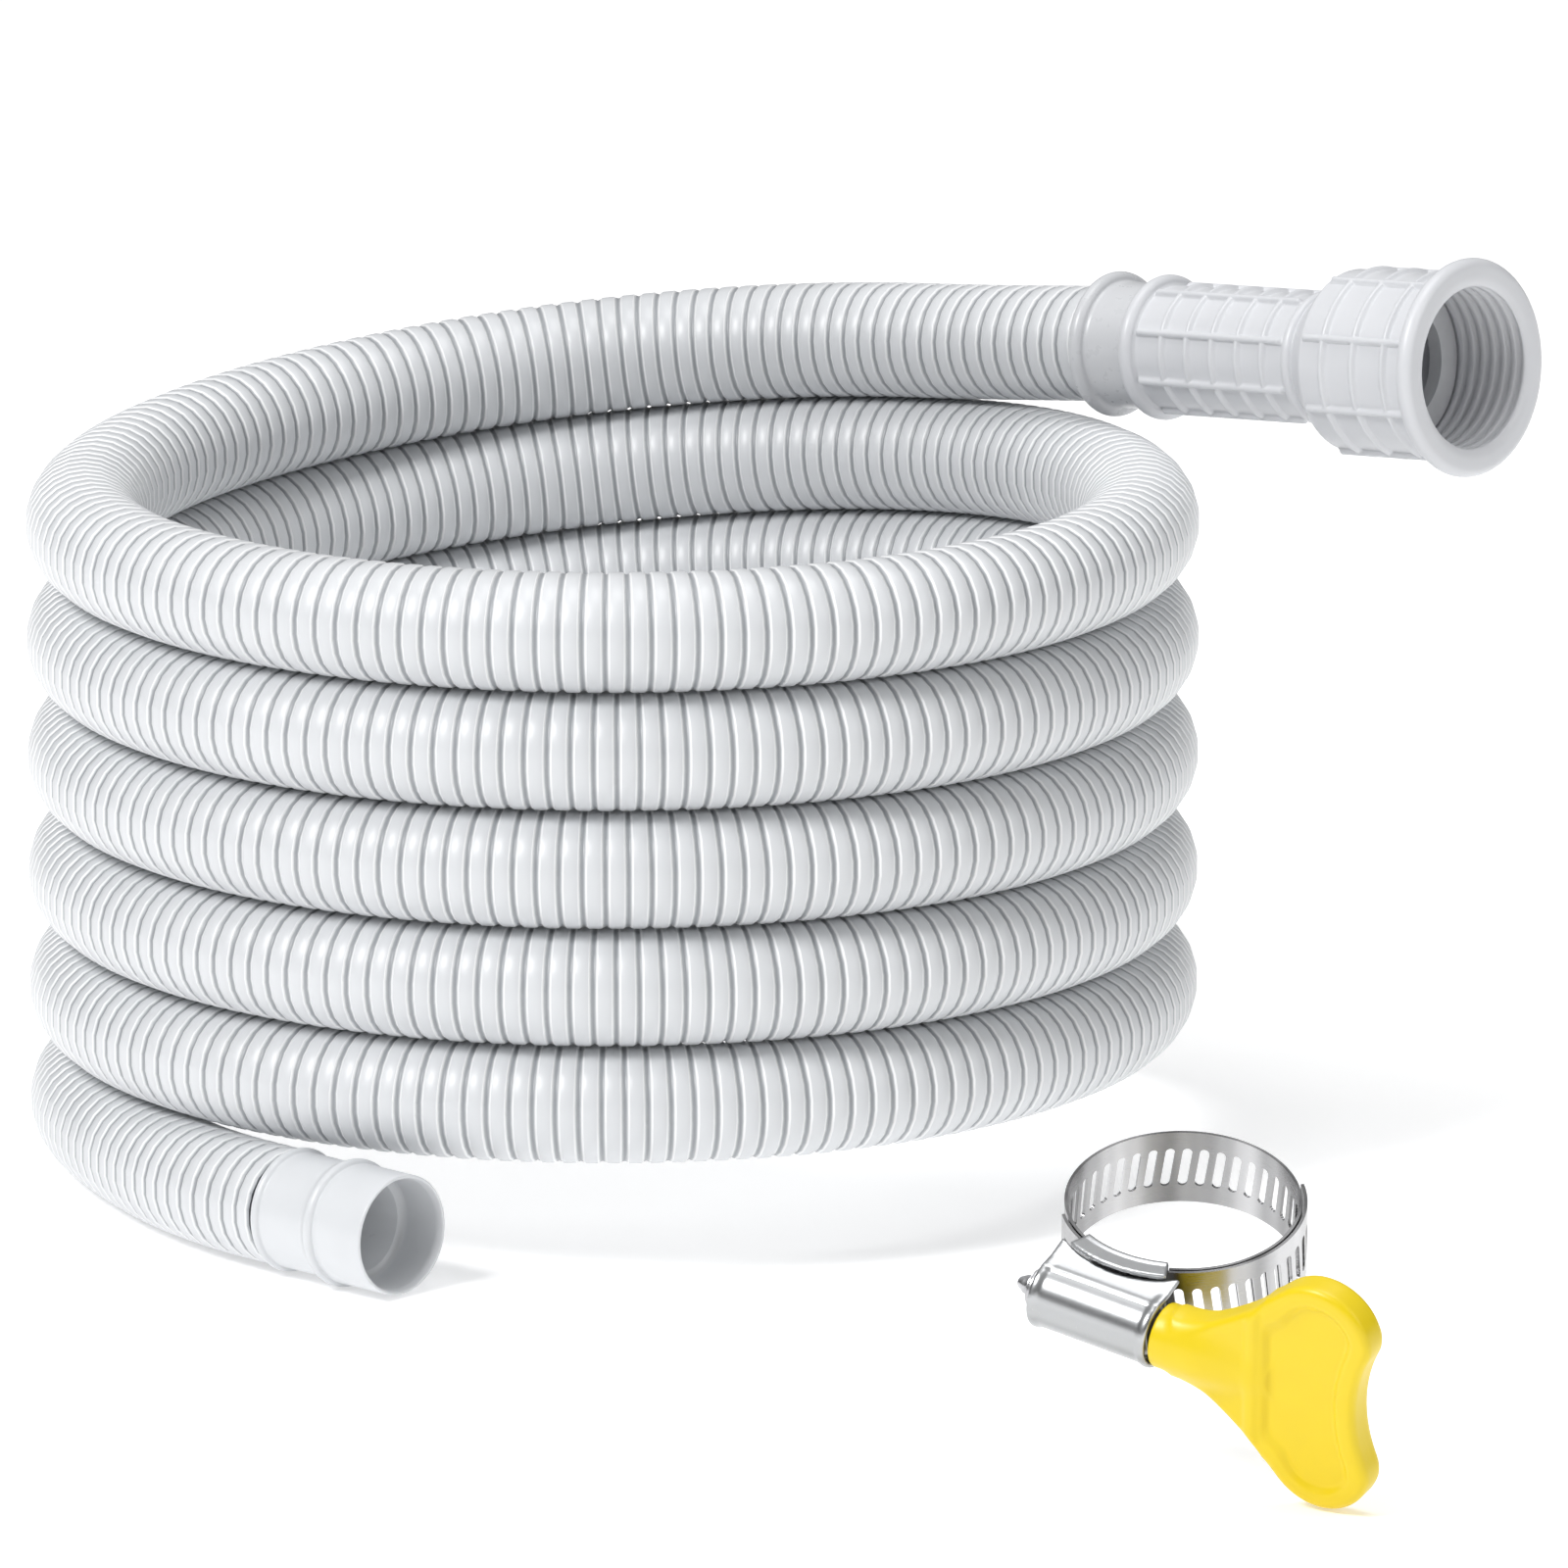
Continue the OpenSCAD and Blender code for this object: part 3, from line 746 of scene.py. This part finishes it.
def brushed(name, tone, rough, matrix, stretch, painted_reflection_scale, painted_reflection_dim):
    """Steel with a fine grain that runs one way, where stretch is small, and broad darker bands of painted
    reflection in its colour.
    """
    n = Nodes(name, tone, rough, metallic=1.0)
    v = n.coords(stretch, matrix)
    grain = n.noise(v, 6.0, 4, 0.6)
    # Broad noise paints darker bands of reflection into the steel's colour.
    painted_reflection = n.span(n.noise(n.coords(painted_reflection_scale, matrix), 1.0, 2), 0.0, 1.0, (0.36, 0.62))
    n.color(n.blend(painted_reflection, tuple(c * painted_reflection_dim for c in tone), tone))
    n.roughness(n.span(grain, rough - 0.08, rough + 0.1))
    n.bump(grain, 0.3, 0.02)
    return n.mat


def plain(name, color, rough, metallic=0.0):
    n = Nodes(name, color, rough, metallic)
    v = n.coords()
    n.color(n.blend(n.noise(v, 0.4, 3), tuple(c * 0.85 for c in color), color))
    n.bump(n.noise(v, 3.0, 3), 0.2, 0.04)
    return n.mat


def paint(ob, mat):
    if ob.data.materials:
        for k in range(len(ob.data.materials)):
            ob.data.materials[k] = mat
    else:
        ob.data.materials.append(mat)


STRIP, COVER, SCREW_TONE = (0.56, 0.56, 0.57), (0.50, 0.51, 0.52), (0.62, 0.62, 0.64)
# The last two numbers of each steel give the size and depth of the painted reflection in its colour.
steel_band = brushed("stainless_strip", STRIP, 0.24, CLAMP, (0.02, 0.02, 1.0), (0.09, 0.09, 0), 0.36)
steel_cover = brushed("stainless_pressing", COVER, 0.3, CLAMP, (1.0, 0.3, 0.3), (0, 0.1, 0.2), 0.7)
steel_screw = brushed("screw_steel", SCREW_TONE, 0.3, SCREW, (0.3, 0.3, 1.0), (0.1, 0.1, 0.1), 0.7)
black_rubber = plain("seal_rubber", (0.04, 0.04, 0.043), 0.6)

# Darker and lighter tone of each moulded plastic.
COLLAR_TONES = (0.56, 0.57, 0.59), (0.62, 0.63, 0.65)
COUPLING_TONES = (0.61, 0.62, 0.645), (0.67, 0.68, 0.705)
CUFF_TONES = (0.61, 0.625, 0.645), (0.67, 0.685, 0.705)
KEY_TONES = (0.74, 0.55, 0.002), (0.80, 0.60, 0.003)

paint(hose, hose_material())
paint(collar, moulded("collar_plastic", COLLAR_TONES, 0.28, FITTING, 0.005))
paint(coupling, moulded("coupling_plastic", COUPLING_TONES, 0.34, FITTING, 0.01))
paint(cuff, moulded("cuff_plastic", CUFF_TONES, 0.3, CUFF, 0.01))
paint(key, moulded("key_plastic", KEY_TONES, 0.36, CLAMP, 0.03))
paint(housing, steel_cover)
paint(saddle, steel_cover)
paint(worm, steel_screw)
paint(nodes["tip_collar"], steel_screw)
for name in ("clamp_band", "band_free_end"):
    paint(nodes[name], steel_band)
for name in ("o_ring_rear", "o_ring_front"):
    paint(nodes[name], black_rubber)
paint(nodes["sealing_washer"], plain("washer_rubber", (0.7, 0.71, 0.73), 0.55))
paint(nodes["retaining_clip"], plain("clip_steel", (0.6, 0.6, 0.62), 0.3, 1.0))
paint(nodes["spigot_insert"], plain("insert_plastic", (0.66, 0.67, 0.69), 0.45))

# ---------------------------------------------------------------- floor and light

# Height of a direction (0 level, 1 straight up) and the sky's strength there, at both ends of its rise.
HORIZON, SKY = (0.05, 0.7), (0.05, 0.45)
FLOOR_HALF, FLOOR_TONE, FLOOR_GLOW = 16000, 0.95, 0.33
# Place, aim, size in metres and power in watts.
LIGHTS = {
    "key_light": ((-1.15, -0.95, 1.5), (0, 0, 0.05), 0.6, 27),
    "fill_light": ((1.3, -0.9, 0.9), (0, 0, 0.05), 0.8, 4),
    "top_light": ((0.1, 0.0, 1.9), (0, 0, 0), 1.0, 12),
}


def make_floor():
    half = FLOOR_HALF
    corners = [(-half, -half, 0), (half, -half, 0), (half, half, 0), (-half, half, 0)]
    floor = make_object("floor", corners, [(0, 1, 2, 3)], smooth=False)
    white = Nodes("floor_white", (FLOOR_TONE, FLOOR_TONE, FLOOR_TONE), 0.85, Specular_IOR_Level=0.1,
                  Emission_Color=(1, 1, 1, 1), Emission_Strength=FLOOR_GLOW)
    paint(floor, white.mat)


def make_sky():
    """A white sky, darker towards the horizon, so that steel has something to reflect."""
    world = bpy.data.worlds.new("studio")
    world.use_nodes = True
    tree = world.node_tree
    background = tree.nodes["Background"]
    background.inputs["Color"].default_value = (1, 1, 1, 1)
    direction = tree.nodes.new("ShaderNodeTexCoord")
    split = tree.nodes.new("ShaderNodeSeparateXYZ")
    rise = tree.nodes.new("ShaderNodeMapRange")
    rise.interpolation_type = "SMOOTHSTEP"
    tree.links.new(direction.outputs["Generated"], split.inputs[0])
    tree.links.new(split.outputs["Z"], rise.inputs["Value"])
    rise.inputs["From Min"].default_value, rise.inputs["From Max"].default_value = HORIZON
    rise.inputs["To Min"].default_value, rise.inputs["To Max"].default_value = SKY
    tree.links.new(rise.outputs["Result"], background.inputs["Strength"])
    scene = bpy.context.scene
    scene.world = world
    scene.view_settings.view_transform = "Standard"
    scene.view_settings.look = "None"


def area_light(name, at, aim, size, watts):
    data = bpy.data.lights.new(name, "AREA")
    data.energy = watts
    data.shape = "SQUARE"
    data.size = size
    ob = bpy.data.objects.new(name, data)
    bpy.context.scene.collection.objects.link(ob)
    ob.location = at
    ob.rotation_mode = "QUATERNION"
    ob.rotation_quaternion = (Vector(aim) - Vector(at)).to_track_quat("-Z", "Y")


make_floor()
make_sky()
for name, light in LIGHTS.items():
    area_light(name, *light)
